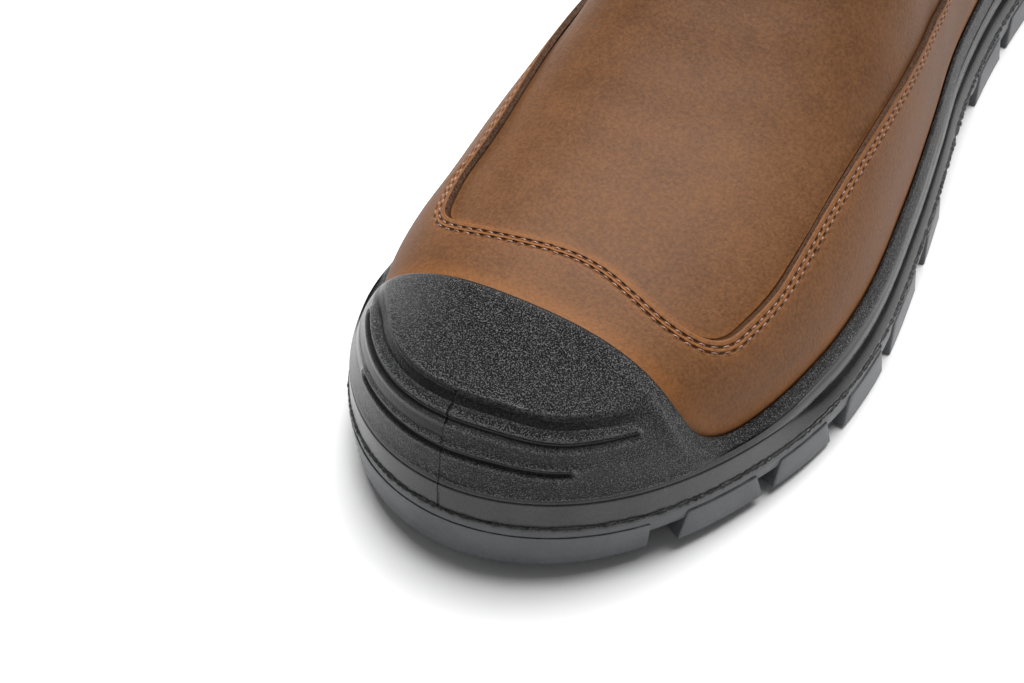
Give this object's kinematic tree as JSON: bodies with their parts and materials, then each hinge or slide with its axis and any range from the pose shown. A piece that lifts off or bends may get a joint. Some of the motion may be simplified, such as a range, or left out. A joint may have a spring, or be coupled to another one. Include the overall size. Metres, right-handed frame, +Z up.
{
  "type": "pull-on work boot",
  "caption": "Left pull-on work boot: lasted leather upper with elastic sides, stitched mudguard, ribbed toe bumper, lugged outsole and a pull loop.",
  "frame": {"origin": "on the floor under the middle of the boot's box", "axes": "+Z up, toe towards -Y, heel towards +Y, the outer side of the left foot towards +X"},
  "size_m": [0.1146, 0.3088, 0.1908],
  "materials": {
    "outsole_rubber": "matt dark grey",
    "midsole_rubber": "black, grained",
    "leather": "waxed brown",
    "footbed": "felt over foam",
    "elastic": "ribbed elastic",
    "webbing": "woven tape"
  },
  "bodies": {
    "root": {"outsole": "outsole_rubber", "midsole": "midsole_rubber", "upper": "leather", "mudguard": "leather", "insole": "footbed", "gore_lateral": "elastic", "gore_medial": "elastic", "pull_loop": "webbing"}
  },
  "joints": []
}
